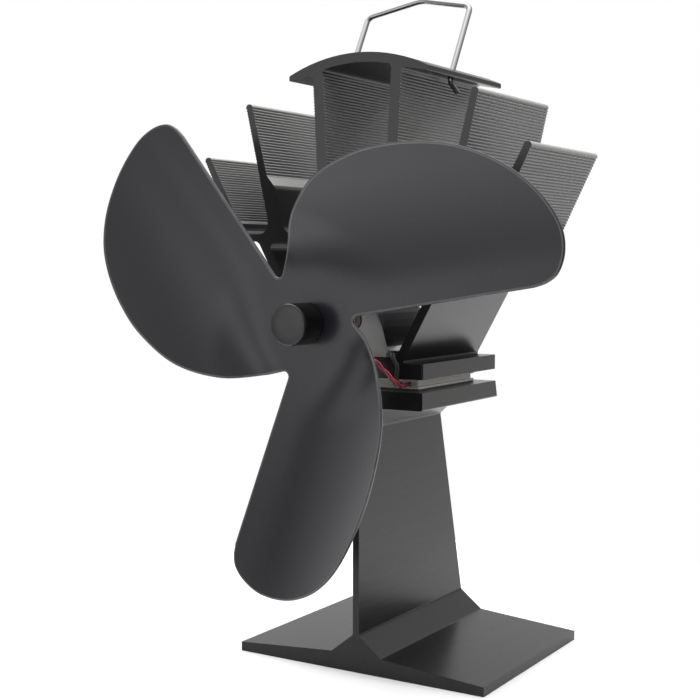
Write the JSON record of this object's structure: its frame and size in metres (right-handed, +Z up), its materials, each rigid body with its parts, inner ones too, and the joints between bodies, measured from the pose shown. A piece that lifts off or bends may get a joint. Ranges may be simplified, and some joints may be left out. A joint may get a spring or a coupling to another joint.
{
  "type": "stove fan",
  "caption": "Heat-powered stove-top fan: lobed blade on a small motor, finned heat sink over a thermoelectric module, slanted base stand and a swinging wire carry handle.",
  "frame": {"origin": "centre of the base stand's flat underside, which stands on the stove", "axes": "+X to the fan's right as seen from the blade side, +Y to the back, away from the blade, +Z up"},
  "size_m": [0.1606, 0.119, 0.2298],
  "materials": {
    "black_aluminium": "black anodised, satin",
    "blade_black": "black powder coat, smooth satin",
    "bare_aluminium": "bare, lightly brushed",
    "bright_steel": "bright drawn steel wire and zinc-plated screws",
    "dark_steel": "dark plated steel",
    "ceramic": "matt white alumina ceramic",
    "module_core": "matt cream sealant over the pellets",
    "graphite": "matt graphite",
    "bronze": "sintered bronze and tinned brass",
    "copper": "copper wound core",
    "ferrite": "matt ferrite",
    "white_plastic": "matt moulded plastic",
    "red_sleeve": "satin red insulation",
    "black_sleeve": "satin black insulation",
    "fibre": "matt red-brown fibre"
  },
  "bodies": {
    "stand": {"base_stand": "black_aluminium", "upper_plate": "black_aluminium", "heat_sink": "black_aluminium", "motor_bracket": "bare_aluminium", "front_clamp_screw": "bright_steel", "rear_clamp_screw": "bright_steel", "motor_screw_upper": "bright_steel", "motor_screw_lower": "bright_steel", "motor_can": "dark_steel", "module_hot_ceramic": "ceramic", "module_cold_ceramic": "ceramic", "module_core": "module_core", "lower_thermal_pad": "graphite", "upper_thermal_pad": "graphite", "brush_left": "graphite", "brush_right": "graphite", "motor_front_bush": "bronze", "motor_rear_bush": "bronze", "terminal_left": "bronze", "terminal_right": "bronze", "motor_magnet_left": "ferrite", "motor_magnet_right": "ferrite", "motor_end_cap": "white_plastic", "red_lead": "red_sleeve", "black_lead": "black_sleeve", "rear_clamp_washer": "fibre"},
    "rotor": {"fan_blade": "blade_black", "hub": "black_aluminium", "hub_grub_screw": "dark_steel", "blade_washer": "bright_steel", "motor_shaft": "bright_steel", "armature": "copper", "commutator": "copper"},
    "handle": {"carry_handle": "bright_steel"}
  },
  "joints": [
    {"name": "fan_spin", "type": "hinge", "parent": "stand", "child": "rotor", "pos_m": [0, -0.0635, 0.1184], "axis": [0, 1, 0], "continuous": true},
    {"name": "handle_swing", "type": "hinge", "parent": "stand", "child": "handle", "pos_m": [0, -0.0095, 0.20045], "axis": [1, 0, 0], "range_deg": [0, 29]}
  ]
}
